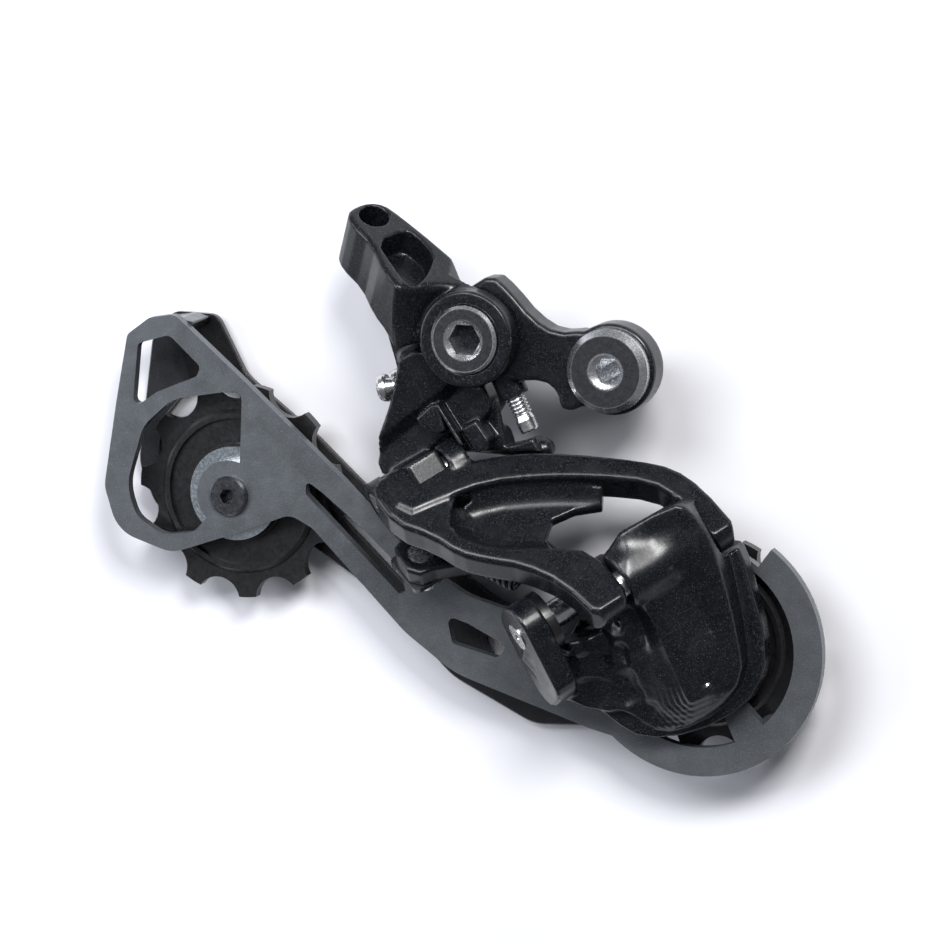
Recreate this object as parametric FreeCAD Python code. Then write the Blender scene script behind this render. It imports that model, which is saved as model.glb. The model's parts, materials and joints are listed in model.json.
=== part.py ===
import FreeCAD, Part
import math
import os

# Rear derailleur, long cage, in millimetres.
# Row frame: origin on the mounting bolt axis at the face that meets the frame's hanger.
# +Z points outboard along that bolt, +X forward on the bike, +Y up.

V = FreeCAD.Vector
os.makedirs("parts", exist_ok=True)

# ---- driving dimensions ----------------------------------------------------------------
B_AXIS = V(-29.0, 5.3, 0)          # pivot between bracket and body knuckle
CAGE_AXIS = V(15.0, -58.0, 0)      # pivot of the cage, shared by the guide pulley
TENSION_AXIS = V(-87.6, -33.2, 0)  # tension pulley
BRACKET_T = 6.5
BOSS_Z = (7.3, 12.0)               # outboard boss of the body knuckle

PIN_R = 2.9                        # parallelogram pins
EYE_R = 5.5                        # material round each pin
RUN = 0.06                         # running clearance on the pins
LINK_ORIGIN = V(-43.9, -28.6, 14.0)  # outer body pin, at its rear end
PIN_HEADING = math.radians(34.5)   # slant of the pins in the side view
PIN_DIP = math.radians(36.0)       # slant of the pins inboard
PIN_B_OUT = (0.0, 0.0)             # pins as (b, c): b across the pins, c outboard
PIN_B_IN = (-2.0, -18.0)
PIN_P_OUT = (38.5, 20.0)
PIN_P_IN = (36.5, 2.0)
LINK_LEN = math.hypot(PIN_P_OUT[0], PIN_P_OUT[1])
LINK_ANGLE = math.degrees(math.atan2(PIN_P_OUT[1], PIN_P_OUT[0]))

PLATE_OUT = (-6.6, -4.4)           # outer cage plate, inboard and outboard faces
PLATE_IN = (-17.4, -15.6)          # inner cage plate
PULLEY_MID = -11.1
TEETH = 11
TIP_R = 22.75
ROOT_R = 19.3
TOOTH_T = 2.4
BUSH_R = 4.0
BOLT_R = 2.5

# ---- frames ----------------------------------------------------------------------------
ALONG = V(math.cos(PIN_DIP) * math.cos(PIN_HEADING),
          math.cos(PIN_DIP) * math.sin(PIN_HEADING),
          -math.sin(PIN_DIP))
ACROSS = V(math.sin(PIN_HEADING), -math.cos(PIN_HEADING), 0)
OUTWARD = ACROSS.cross(ALONG)


def link_matrix(origin_b=0.0, origin_c=0.0):
    """Local x across the pins, y along them, z outboard of both."""
    o = LINK_ORIGIN + ACROSS * origin_b + OUTWARD * origin_c
    return FreeCAD.Matrix(ACROSS.x, ALONG.x, OUTWARD.x, o.x,
                          ACROSS.y, ALONG.y, OUTWARD.y, o.y,
                          ACROSS.z, ALONG.z, OUTWARD.z, o.z,
                          0, 0, 0, 1)


def to_row(shape, pin=(0.0, 0.0), swing=0.0):
    """Put a shape drawn in the pin frame at a pin, turned about the pin by swing degrees."""
    s = shape.copy()
    if swing:
        s.rotate(V(0, 0, 0), V(0, 1, 0), -swing)
    s.transformShape(link_matrix(pin[0], pin[1]), True)
    return s


def at(b, a, c):
    return LINK_ORIGIN + ACROSS * b + ALONG * a + OUTWARD * c


# ---- shapes ----------------------------------------------------------------------------
def rod(start, axis, radius, length):
    return Part.makeCylinder(radius, length, V(*start), V(*axis))


def rod_between(p, q, radius):
    d = q - p
    return Part.makeCylinder(radius, d.Length, p, d)


def tube(start, axis, outer, inner, length):
    return rod(start, axis, outer, length).cut(rod(start, axis, inner, length))


def hexagon(start, axis, flats, length):
    """Hexagonal prism by width across flats."""
    r = flats / math.sqrt(3)
    pts = [V(r * math.cos(math.radians(60 * i)), r * math.sin(math.radians(60 * i)), 0)
           for i in range(7)]
    prism = Part.Face(Part.makePolygon(pts)).extrude(V(0, 0, length))
    prism.Placement = FreeCAD.Placement(V(*start), FreeCAD.Rotation(V(0, 0, 1), V(*axis)))
    return prism


def rounded_wire(points, radii, z=0.0):
    """Closed outline whose corners are replaced by tangent arcs."""
    n = len(points)
    if not hasattr(radii, "__len__"):
        radii = [radii] * n
    pts = [V(p[0], p[1], z) for p in points]
    starts, mids, ends = [], [], []
    for i in range(n):
        p, prev, nxt = pts[i], pts[i - 1], pts[(i + 1) % n]
        u = (prev - p).normalize()
        w = (nxt - p).normalize()
        half = u.getAngle(w) / 2
        reach = radii[i] / max(math.tan(half), 1e-6)
        limit = 0.49 * min((prev - p).Length, (nxt - p).Length)
        r = radii[i] * min(1.0, limit / max(reach, 1e-9))
        reach = min(reach, limit)
        if r < 0.02 or half > 1.55:
            starts.append(p)
            mids.append(None)
            ends.append(p)
            continue
        bis = (u + w).normalize()
        centre = p + bis * (r / math.sin(half))
        starts.append(p + u * reach)
        mids.append(centre - bis * r)
        ends.append(p + w * reach)
    edges = []
    for i in range(n):
        if mids[i] is not None:
            edges.append(Part.Arc(starts[i], mids[i], ends[i]).toShape())
        a, b = ends[i], starts[(i + 1) % n]
        if (b - a).Length > 1e-4:
            edges.append(Part.makeLine(a, b))
    return Part.Wire(edges)


def slab(points, radii, z0, z1):
    return Part.Face(rounded_wire(points, radii, z0)).extrude(V(0, 0, z1 - z0))


def strap_points(c1, r1, c2, r2):
    """Tangent corner points of two circles, in order round the pair."""
    dx, dy = c2[0] - c1[0], c2[1] - c1[1]
    dist = math.hypot(dx, dy)
    base = math.atan2(dy, dx)
    off = math.acos((r1 - r2) / dist)
    out = []
    for ang in (base + off, base - off):
        out.append((V(c1[0] + r1 * math.cos(ang), c1[1] + r1 * math.sin(ang), 0),
                    V(c2[0] + r2 * math.cos(ang), c2[1] + r2 * math.sin(ang), 0)))
    return out


def strap(c1, r1, c2, r2, z0, z1):
    """Two discs joined by their tangents, between two heights."""
    (a1, b1), (a2, b2) = strap_points(c1, r1, c2, r2)
    web = Part.Face(Part.makePolygon([a1, b1, b2, a2, a1])).extrude(V(0, 0, z1 - z0))
    web.translate(V(0, 0, z0))
    d1 = rod((c1[0], c1[1], z0), (0, 0, 1), r1, z1 - z0)
    d2 = rod((c2[0], c2[1], z0), (0, 0, 1), r2, z1 - z0)
    return web.fuse([d1, d2]).removeSplitter()


def pin_strap(c1, r1, c2, r2, a0, a1):
    """A strap in the plane across the pins, between two stations along them."""
    s = strap((c1[0], -c1[1]), r1, (c2[0], -c2[1]), r2, a0, a1)
    s.rotate(V(0, 0, 0), V(1, 0, 0), -90)
    return s


def pin_rod(pin, radius, a0, a1):
    return rod((pin[0], a0, pin[1]), (0, 1, 0), radius, a1 - a0)


def taper(p1, r1, p2, r2, axis1=None, axis2=None):
    """Straight-sided body from one circle to another."""
    along = p2 - p1
    w1 = Part.Wire(Part.makeCircle(r1, p1, axis1 or along))
    w2 = Part.Wire(Part.makeCircle(r2, p2, axis2 or along))
    return Part.makeLoft([w1, w2], True, True)


def sector(centre, r_in, r_out, a0, a1, z0, z1):
    """Part of a ring between two angles in degrees."""
    def on(r, a):
        t = math.radians(a)
        return V(centre.x + r * math.cos(t), centre.y + r * math.sin(t), z0)
    mid = (a0 + a1) / 2
    wire = Part.Wire([Part.Arc(on(r_out, a0), on(r_out, mid), on(r_out, a1)).toShape(),
                      Part.makeLine(on(r_out, a1), on(r_in, a1)),
                      Part.Arc(on(r_in, a1), on(r_in, mid), on(r_in, a0)).toShape(),
                      Part.makeLine(on(r_in, a0), on(r_out, a0))])
    return Part.Face(wire).extrude(V(0, 0, z1 - z0))


def below(z):
    """A big block that removes everything inboard of a height."""
    return Part.makeBox(400, 400, 200, V(-200, -200, z - 200))


def chamfer_ends(shape, size, z_values):
    """Bevel the circular or curved rims that lie at the given heights."""
    edges = [e for e in shape.Edges
             if all(min(abs(v.Z - z) for z in z_values) < 1e-4 for v in e.Vertexes)
             and e.BoundBox.ZLength < 1e-4]
    try:
        return shape.makeChamfer(size, edges)
    except Exception:
        return shape


def save(name, shape):
    solids = shape.Solids
    assert solids, name
    out = solids[0] if len(solids) == 1 else Part.makeCompound(solids)
    out.exportStep("parts/%s.step" % name)
    box = out.BoundBox
    print(name, len(solids), "solids", "volume %.0f" % out.Volume,
          "x %.1f %.1f y %.1f %.1f z %.1f %.1f" % (box.XMin, box.XMax, box.YMin,
                                                  box.YMax, box.ZMin, box.ZMax))


# ---- bracket and its bolts --------------------------------------------------------------
B_SCREW_DIR = V(0.42, -0.905, -0.06).normalize()
B_SCREW_TOP = V(-24.3, -1.2, 3.3)


def make_bracket():
    b = (B_AXIS.x, B_AXIS.y)
    outline = [(-37.0, 8.0), (-30.6, 14.6), (-25.6, 18.2), (-21.8, 15.2), (-16.9, 9.4),
               (-11.8, 6.6), (-5.5, 7.6), (0, 0), (-6.0, -7.4), (-8.2, -8.8), (-10.6, -8.4),
               (-11.2, -5.0), (-14.4, -3.0), (-20.9, -3.6), (-31.0, -3.4)]
    radii = [4, 2, 2.5, 2, 6, 4, 3, 0, 1, 1.2, 1.0, 0.6, 1.5, 2, 3]
    body = slab(outline, radii, 0, BRACKET_T)
    body = body.fuse([rod((b[0], b[1], 0), (0, 0, 1), 9.4, BRACKET_T),
                      rod((0, 0, 0), (0, 0, 1), 9.3, BRACKET_T)]).removeSplitter()
    body = chamfer_ends(body, 0.5, (0, BRACKET_T))
    ear = rod_between(B_SCREW_TOP, B_SCREW_TOP + B_SCREW_DIR * 6.6, 3.1)
    body = body.fuse(ear)
    body = body.cut(rod((0, 0, -1), (0, 0, 1), 5.05, 20))
    body = body.cut(Part.makeCone(6.4, 5.0, 1.4))
    body = body.cut(rod((b[0], b[1], -1), (0, 0, 1), 5.0, 20))
    screw = rod_between(B_SCREW_TOP - B_SCREW_DIR * 3.2, B_SCREW_TOP + B_SCREW_DIR * 20, 2.05)
    body = body.cut(screw)
    # nothing reaches below the face that sits on the hanger
    return body.cut(Part.makeBox(80, 60, 5, V(-60, -30, -5)))


def make_mounting_bolt():
    bolt = rod((0, 0, -9), (0, 0, 1), 5.0, 9.0)
    bolt = chamfer_ends(bolt, 0.5, (-9,))
    bolt = bolt.fuse(rod((0, 0, -1), (0, 0, 1), 4.6, BRACKET_T + 2.0))
    head = rod((0, 0, BRACKET_T + 0.15), (0, 0, 1), 8.5, 3.0)
    head = chamfer_ends(head, 1.2, (BRACKET_T + 3.15,))
    bolt = bolt.fuse(head)
    bolt = bolt.cut(rod((0, 0, BRACKET_T + 1.4), (0, 0, 1), 3.45, 5))
    return bolt.cut(hexagon((0, 0, -3.0), (0, 0, 1), 5.0, 15))


def make_b_bolt():
    x, y = B_AXIS.x, B_AXIS.y
    bolt = rod((x, y, 0.3), (0, 0, 1), 5.0, 10.5)
    head = rod((x, y, 10.0), (0, 0, 1), 7.0, 3.0)
    head = chamfer_ends(head, 0.5, (13.0,))
    bolt = bolt.fuse(head)
    bolt = bolt.cut(Part.makeCone(3.2, 4.2, 1.0, V(x, y, 12.0), V(0, 0, 1)))
    return bolt.cut(hexagon((x, y, 5.5), (0, 0, 1), 6.0, 10))


def make_b_washer():
    return tube((B_AXIS.x, B_AXIS.y, BRACKET_T + 0.05), (0, 0, 1), 8.2, 5.05, 0.65)


# ---- body knuckle -----------------------------------------------------------------------
SOCKET_DIR = V(0.363, 0.818, 0.441).normalize()
SOCKET_MOUTH = V(-51.9, 28.2, 3.0)
SOCKET_LEN = 13.5
LIMIT_DIR = V(-0.97, -0.22, 0.05).normalize()
LIMIT_HEADS = (V(-48.2, -6.6, 4.2), V(-48.2, -6.6, -2.9))
BLOCK = (5.3, 12.7)


def make_b_knuckle():
    b = (B_AXIS.x, B_AXIS.y)
    boss = rod((b[0], b[1], BOSS_Z[0]), (0, 0, 1), 9.9, BOSS_Z[1] - BOSS_Z[0])
    boss = chamfer_ends(boss, 0.6, (BOSS_Z[1],))
    end = rod_between(SOCKET_MOUTH - SOCKET_DIR * SOCKET_LEN, SOCKET_MOUTH, 5.0)
    arm_mid = SOCKET_MOUTH - SOCKET_DIR * 6.6
    arm = taper(arm_mid, 5.6, V(-32.0, 7.0, 6.0), 7.6)
    rib = taper(V(-55.2, 17.2, -1.6), 4.3, V(-41.6, 0.0, 3.0), 5.6)
    shoulder = strap(b, 9.6, (-40.0, -9.5), 6.6, BOSS_Z[0], 11.0)
    column = taper(V(-40.2, -9.7, 10.0), 6.8, at(-1.5, 9.0, -8.0), 7.0)
    block = to_row(pin_strap(PIN_B_OUT, EYE_R, PIN_B_IN, EYE_R, BLOCK[0], BLOCK[1]))
    foot = taper(V(-35.5, -12.0, 4.0), 5.0, at(-5.5, 12.0, -5.0), 5.5)
    stop = taper(V(-36.0, -15.5, 0.0), 5.0, V(-16.8, -18.4, -1.6), 2.3)
    body = boss.fuse([end, arm, rib, shoulder, column, block, foot, stop])
    body = body.cut(rod((b[0], b[1], -40), (0, 0, 1), 10.4, 40 + BOSS_Z[0]))
    body = body.cut(sector(B_AXIS, 10.0, 60, -45, 112, -40, BOSS_Z[0]))
    body = body.cut(sector(B_AXIS, 10.0, 23.6, -78, -44, -40, BOSS_Z[0]))
    body = body.cut(rod((b[0], b[1], -20), (0, 0, 1), 5.05, 60))
    body = body.cut(rod((b[0], b[1], 9.95), (0, 0, 1), 7.06, 10))
    bore = rod_between(SOCKET_MOUTH - SOCKET_DIR * 11.0, SOCKET_MOUTH + SOCKET_DIR * 3, 3.05)
    cable = rod_between(SOCKET_MOUTH - SOCKET_DIR * 22, SOCKET_MOUTH, 1.1)
    body = body.cut([bore, cable])
    for head in LIMIT_HEADS:
        body = body.cut(rod_between(head - LIMIT_DIR * 12, head + LIMIT_DIR * 8, 2.05))
        body = body.cut(rod_between(head + LIMIT_DIR * 0.0, head + LIMIT_DIR * 12, 3.3))
    for pin in (PIN_B_OUT, PIN_B_IN):
        body = body.cut(to_row(pin_rod(pin, PIN_R, -10, 40)))
    room_out = pin_rod(PIN_B_OUT, EYE_R + 0.4, -8, BLOCK[0])
    room_out = room_out.fuse(pin_rod(PIN_B_OUT, EYE_R + 0.4, BLOCK[1], 18.5))
    room_in = pin_rod(PIN_B_IN, EYE_R + 0.4, -8, BLOCK[0])
    room_in = room_in.fuse(pin_rod(PIN_B_IN, EYE_R + 0.4, BLOCK[1], 18.5))
    return body.cut([to_row(room_out), to_row(room_in)])


def make_limit_screw(head):
    base = head + LIMIT_DIR * 0.3
    screw = rod_between(base - LIMIT_DIR * 9.5, base, 2.0)
    dome = rod_between(base, base + LIMIT_DIR * 2.2, 2.9)
    slot = Part.makeBox(1.4, 6, 0.9, V(-0.7, -3, -0.45))
    cross = slot.fuse(Part.makeBox(1.4, 0.9, 6, V(-0.7, -0.45, -3)))
    cross.Placement = FreeCAD.Placement(base + LIMIT_DIR * 1.9,
                                        FreeCAD.Rotation(V(1, 0, 0), LIMIT_DIR))
    return screw.fuse(dome).cut(cross)


def make_b_screw():
    end = B_SCREW_TOP + B_SCREW_DIR * 14.2
    screw = rod_between(B_SCREW_TOP + B_SCREW_DIR * 0.2, end, 2.0)
    return screw.cut(hexagon(end - B_SCREW_DIR * 2.0, B_SCREW_DIR, 2.0, 4))


# ---- parallelogram ----------------------------------------------------------------------
OUTER_LINK_PLAN = [(-6.0, 0.5), (-6.0, 16.0), (0.5, 18.0), (14.0, 32.0), (31.0, 49.0),
                   (41.0, 51.0), (49.2, 51.0), (49.2, 20.8), (38.5, 19.0), (29.0, 11.0),
                   (15.0, 1.6), (2.0, -0.6)]


def make_outer_link():
    plan = rounded_wire(OUTER_LINK_PLAN, [3, 3, 4, 6, 8, 4, 2, 2, 5, 8, 8, 3], -4.0)
    body = Part.Face(plan).extrude(V(0, 0, 8.0))
    pocket = slab([(9, 7), (13, 22), (26, 39.5), (31.5, 42), (33, 27), (27, 16)],
                  [3, 4, 4, 2, 4, 4], -0.8, 10)
    window = slab([(23, 33), (29, 40.5), (35, 43), (35, 30), (26, 28)], 2.0, -10, 10)
    body = body.cut([pocket, window])
    body = body.cut(Part.makeBox(20, 8.4, 30, V(-10.5, BLOCK[0] - 0.5, -15)))
    body = body.cut(Part.makeBox(30, 20.4, 30, V(34.0, 25.8, -15)))
    tabs = []
    for a0, a1 in ((0.3, 4.8), (13.2, 17.8)):
        tabs.append(pin_rod((0, 0), EYE_R, a0, a1))
        tabs.append(Part.makeBox(12, a1 - a0, 8, V(0, a0, -4)))
    for a0, a1 in ((20.8, 25.8), (46.0, 51.0)):
        tabs.append(pin_rod((LINK_LEN, 0), EYE_R, a0, a1))
        tabs.append(Part.makeBox(12, a1 - a0, 8, V(LINK_LEN - 12, a0, -4)))
    body = body.fuse(tabs)
    body = body.cut(pin_rod((0, 0), EYE_R + 0.45, 4.8, 13.2))
    trim = Part.makeBox(40, 80, 60, V(LINK_LEN, -10, -30))
    keep = pin_rod((LINK_LEN, 0), EYE_R, -10, 70)
    body = body.cut(trim.cut(keep))
    trim = Part.makeBox(40, 80, 60, V(-40, -10, -30))
    keep = pin_rod((0, 0), EYE_R, -10, 70)
    body = body.cut(trim.cut(keep))
    for x in (0, LINK_LEN):
        body = body.cut(pin_rod((x, 0), PIN_R + RUN, -10, 70))
    return to_row(body.removeSplitter(), PIN_B_OUT, LINK_ANGLE)


CLAMP_AT = (15.5, 1.5)


def make_inner_link():
    plan = [(0, 0.8), (10, 0.8), (11.5, -3.0), (19.5, -3.0), (21, 3.5), (28, 15.0),
            (36, 20.5), (43.4, 20.5), (43.4, 26.0), (33, 26.0), (10, 17.5), (0, 17.5)]
    body = Part.Face(rounded_wire(plan, [0, 3, 2, 2, 4, 5, 3, 0, 0, 5, 4, 0], -3.5))
    body = body.extrude(V(0, 0, 5.0))
    body = body.cut(Part.makeBox(20, 8.4, 30, V(-10.5, BLOCK[0] - 0.5, -15)))
    eyes = [pin_rod((0, 0), 5.0, 0.8, 4.8), pin_rod((0, 0), 5.0, 13.2, 17.5),
            pin_rod((LINK_LEN, 0), 5.0, 20.5, 26.0)]
    body = body.fuse(eyes)
    for x in (0, LINK_LEN):
        body = body.cut(pin_rod((x, 0), PIN_R + RUN, -10, 70))
    body = body.cut(rod((CLAMP_AT[0], CLAMP_AT[1], -10), (0, 0, 1), 2.55, 20))
    return to_row(body.removeSplitter(), PIN_B_IN, LINK_ANGLE)


def make_clamp_bolt():
    x, a = CLAMP_AT
    bolt = rod((x, a, -7.0), (0, 0, 1), 2.5, 8.3)
    head = rod((x, a, -7.6), (0, 0, 1), 3.8, 2.5)
    bolt = bolt.fuse(head).cut(hexagon((x, a, -9), (0, 0, 1), 4.0, 3.2))
    return to_row(bolt, PIN_B_IN, LINK_ANGLE)


def make_clamp_washer():
    x, a = CLAMP_AT
    plate = slab([(x - 5.2, a - 4.6), (x + 4.6, a - 4.6), (x + 4.6, a + 4.6),
                  (x - 5.2, a + 4.6)], 1.2, -5.0, -3.55)
    lip = slab([(x - 5.2, a - 4.6), (x - 4.0, a - 4.6), (x - 4.0, a + 4.6),
                (x - 5.2, a + 4.6)], 0.3, -6.6, -4.0)
    plate = plate.fuse(lip).cut(rod((x, a, -10), (0, 0, 1), 2.55, 20))
    return to_row(plate, PIN_B_IN, LINK_ANGLE)


def make_pin(pin, a0, a1):
    body = pin_rod(pin, PIN_R, a0, a1)
    for a, way in ((a0, 1), (a1, -1)):
        body = body.cut(Part.makeSphere(1.0, V(pin[0], a - 0.45 * way, pin[1])))
    return to_row(body)


def coil(radius, wire, pitch, height, sides=0):
    """Coil about +Z from the origin, of round wire or of wire with that many flats."""
    path = Part.makeHelix(pitch, height, radius)
    if sides:
        turn = math.radians(360 / sides)
        ring = Part.makePolygon([V(radius + wire * math.cos(i * turn), 0, wire * math.sin(i * turn))
                                 for i in range(sides + 1)])
    else:
        ring = Part.Wire(Part.makeCircle(wire, V(radius, 0, 0), V(0, 1, 0)))
    return Part.Wire(path.Edges).makePipeShell([ring], True, bool(sides))


def make_return_spring():
    start, finish = at(5.6, 2.2, -6.5), at(26.5, 13.5, 1.4)
    along = finish - start
    spring = coil(2.3, 0.55, 1.4, along.Length)
    spring.Placement = FreeCAD.Placement(start, FreeCAD.Rotation(V(0, 0, 1), along))
    return spring


def make_spring_collar():
    ring = pin_rod(PIN_P_IN, 6.4, 12.25, 14.2).cut(pin_rod(PIN_P_IN, PIN_R, 10, 20))
    return to_row(ring)


# ---- cage knuckle -----------------------------------------------------------------------
HOUSING_R = 15.4
CAVITY = (6.6, 12.3)
KNUCKLE_Z = -4.1
GRUB_Z = 7.6
GRUB_DIR = V(0.80, -0.60, 0)


def make_p_knuckle():
    p = (CAGE_AXIS.x, CAGE_AXIS.y)
    housing = rod((p[0], p[1], KNUCKLE_Z), (0, 0, 1), HOUSING_R, 13.6)
    housing = chamfer_ends(housing, 2.0, (KNUCKLE_Z + 13.6,))
    skirt = slab([(-12.6, -66.2), (-1.0, -75.4), (8, -76.2), (20, -70), (20, -52),
                  (0, -50), (-12, -58)], [1.5, 4, 6, 4, 4, 6, 3], KNUCKLE_Z, 3.0)
    flange = slab([(16, -73), (27.0, -68.0), (30.6, -59), (27.8, -46), (24.5, -39.5),
                   (14, -42)], [3, 5, 8, 6, 2, 3], KNUCKLE_Z, 1.5)
    nose = pin_strap(PIN_P_OUT, EYE_R, (43.0, 3.0), 9.5, 26.3, 45.7)
    lug_r = pin_strap(PIN_P_IN, EYE_R, (46.0, 0.0), 7.0, 26.3, 31.0)
    lug_l = pin_strap(PIN_P_IN, EYE_R, (44.8, -3.6), 5.0, 7.0, 12.0)
    web = pin_strap((47.2, -4.4), 4.2, (50.5, -8.0), 4.4, 9.5, 30.0)
    crown = taper(at(40.0, 36.0, 16.0), 8.5, V(p[0], p[1], 2.0), 14.0, None, V(0, 0, -1))
    body = housing.fuse([skirt, flange, to_row(nose), to_row(lug_r), to_row(lug_l),
                         to_row(web), crown])
    body = body.cut(below(KNUCKLE_Z))
    room = pin_rod(PIN_P_OUT, EYE_R + 0.4, 14.0, 26.2)
    room = room.fuse([pin_rod(PIN_P_OUT, EYE_R + 0.4, 45.8, 60.0),
                      pin_rod(PIN_P_IN, EYE_R + 0.2, 12.0, 26.3),
                      pin_rod(PIN_P_IN, 8.0, 12.0, 14.6)])
    body = body.cut(to_row(room))
    body = body.cut(tube((p[0], p[1], -10), (0, 0, 1), CAVITY[1], CAVITY[0], 15.4))
    body = body.cut(rod((p[0], p[1], -10), (0, 0, 1), 5.05, 18.6))
    for pin in (PIN_P_OUT, PIN_P_IN):
        body = body.cut(to_row(pin_rod(pin, PIN_R, -10, 70)))
    grub = V(p[0], p[1], GRUB_Z) + GRUB_DIR * 3.0
    body = body.cut(rod_between(grub, grub + GRUB_DIR * 20, 1.0))
    body = body.cut(rod((STOP_PIN.x, STOP_PIN.y, -6), (0, 0, 1), 2.6, 5.3))
    return body.removeSplitter()


def make_grub():
    start = V(CAGE_AXIS.x, CAGE_AXIS.y, GRUB_Z) + GRUB_DIR * 4.4
    return rod_between(start, start + GRUB_DIR * 3.6, 1.0)


def make_cage_spring():
    spring = coil(9.4, 0.9, 2.2, 6.4, sides=8)
    spring.translate(V(CAGE_AXIS.x, CAGE_AXIS.y, -2.6))
    return spring


# ---- cage -------------------------------------------------------------------------------
def make_p_axle():
    x, y = CAGE_AXIS.x, CAGE_AXIS.y
    axle = rod((x, y, PLATE_OUT[0]), (0, 0, 1), 5.0, 8.2 - PLATE_OUT[0])
    groove = tube((x, y, GRUB_Z - 1.3), (0, 0, 1), 6.0, 4.2, 2.6)
    axle = axle.cut(groove)
    return axle.cut(rod((x, y, -10), (0, 0, 1), BOLT_R + 0.05, 11.0))


STOP_PIN = V(CAGE_AXIS.x + 29.6 * math.cos(math.radians(201.0)),
             CAGE_AXIS.y + 29.6 * math.sin(math.radians(201.0)), 0)


def make_outer_plate():
    t, p = TENSION_AXIS, CAGE_AXIS
    z0, z1 = PLATE_OUT
    outline = [(-110.6, -0.4), (-105.5, 3.4), (-99.8, 4.4), (-83.9, -9.0), (-62.0, -28.3),
               (-51.4, -38.6), (-42.3, -46.3), (-34.4, -50.8), (-26.0, -53.0), (-12.0, -50.0),
               (4.0, -40.0), (10.0, -76.0), (0.3, -78.4), (-7.5, -76.6), (-37.5, -67.2),
               (-48.4, -59.4), (-58.3, -49.5), (-69.0, -38.9), (-74.0, -36.4),
               (-86.0, -41.1), (-100.9, -46.4), (-113.4, -42.5), (-116.3, -33.0),
               (-113.3, -14.9)]
    radii = [2, 2.5, 3, 8, 20, 20, 20, 12, 8, 8, 0, 0, 6, 20, 20, 20, 20, 4, 4, 12, 8, 8, 6, 30]
    plate = slab(outline, radii, z0, z1)
    ring = rod((p.x, p.y, z0), (0, 0, 1), 26.6, z1 - z0)
    plate = plate.fuse(ring).cut(sector(p, 22.0, 34.0, 54, 112, z0 - 1, z1 + 1)).removeSplitter()
    plate = chamfer_ends(plate, 0.5, (z1,))
    tri = slab([(-108.2, -2.2), (-101.0, 0.0), (-94.0, -6.3), (-94.8, -8.4), (-103.9, -12.2),
                (-109.6, -16.2)], [1.2, 2, 1.2, 1.2, 3, 1.2], -30, 0)
    dee = slab([(-84.6, -10.6), (-100.5, -13.6), (-107.2, -19.6), (-111.2, -32.5),
                (-109.0, -39.0), (-103.0, -42.6), (-96.0, -41.6), (-92.5, -38.0),
                (-88.0, -33.2), (-85.2, -26.0)], [2, 8, 8, 10, 5, 5, 3, 1, 1, 4], -30, 0)
    dee = dee.cut(rod((t.x, t.y, -40), (0, 0, 1), 7.4, 60))
    slot = slab([(-70.4, -28.8), (-70.4, -31.8), (-63.4, -38.4), (-49.6, -51.4),
                 (-48.2, -51.2), (-49.2, -46.0), (-57.4, -38.5), (-66.5, -31.4)],
                [1, 1, 20, 0.6, 0.6, 1.5, 20, 3], -30, 0)
    eye = slab([(-39.2, -55.2), (-34.6, -56.5), (-25.6, -60.8), (-28.0, -63.3),
                (-37.9, -61.0)], 1.2, -30, 0)
    cuts = [tri, dee, slot, eye]
    for a0, a1 in ((-112, -66), (-46, 68), (88, 150)):
        cuts.append(sector(p, 13.0, 20.6, a0, a1, -30, 0))
    cuts.append(rod((p.x, p.y, -30), (0, 0, 1), 5.0, 60))
    cuts.append(rod((t.x, t.y, -30), (0, 0, 1), BOLT_R + 0.05, 60))
    cuts.append(rod((STOP_PIN.x, STOP_PIN.y, -30), (0, 0, 1), 1.6, 60))
    return plate.cut(cuts)


def make_inner_plate():
    t, p = TENSION_AXIS, CAGE_AXIS
    z0, z1 = PLATE_IN
    outline = [(-110.0, -3.0), (-105.0, 3.2), (-95.0, 3.0), (-88.4, -9.5), (-72.0, -22.0),
               (-50.0, -42.0), (-30.0, -55.0), (-8.0, -54.0), (6.0, -42.0), (8.0, -74.0),
               (-6.0, -78.5), (-24.0, -79.5), (-42.0, -70.8), (-60.0, -53.5), (-78.0, -42.5),
               (-96.0, -45.5), (-109.5, -39.0), (-113.5, -30.0)]
    radii = [3, 3, 3, 8, 20, 20, 12, 8, 0, 0, 8, 10, 14, 20, 14, 8, 6, 10]
    plate = slab(outline, radii, z0, z1)
    plate = plate.fuse(rod((p.x, p.y, z0), (0, 0, 1), 17.5, z1 - z0)).removeSplitter()
    plate = chamfer_ends(plate, 0.3, (z0, z1))
    bridge = slab([(-105.6, 2.6), (-105.0, 0.6), (-99.0, 1.2), (-97.0, 0.8), (-96.4, 2.6),
                   (-99.6, 3.2)], 0.4, z1 - 0.5, PLATE_OUT[0] - 0.05)
    plate = plate.fuse(bridge)
    dee = slab([(-90.0, -12.0), (-102.0, -13.0), (-108.0, -20.0), (-109.0, -31.0),
                (-103.0, -38.0), (-96.0, -39.5), (-88.0, -33.0)], 3, -30, 0)
    dee = dee.cut(rod((t.x, t.y, -40), (0, 0, 1), 8.6, 60))
    slot = slab([(-74.0, -31.5), (-70.0, -36.0), (-46.0, -58.5), (-41.0, -57.0),
                 (-52.0, -46.5)], 2, -30, 0)
    eye = slab([(-36.0, -59.5), (-33.0, -68.0), (-14.0, -70.5), (-10.0, -61.0)], 2.5, -30, 0)
    cuts = [dee, slot, eye]
    for axis in (t, p):
        cuts.append(rod((axis.x, axis.y, -30), (0, 0, 1), BOLT_R + 0.05, 60))
    return plate.cut(cuts)


def make_stop_pin():
    x, y = STOP_PIN.x, STOP_PIN.y
    pin = rod((x, y, PLATE_OUT[0]), (0, 0, 1), 1.6, 5.4)
    head = rod((x, y, PLATE_OUT[1]), (0, 0, 1), 2.1, 1.2)
    return pin.fuse(head)


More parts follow.
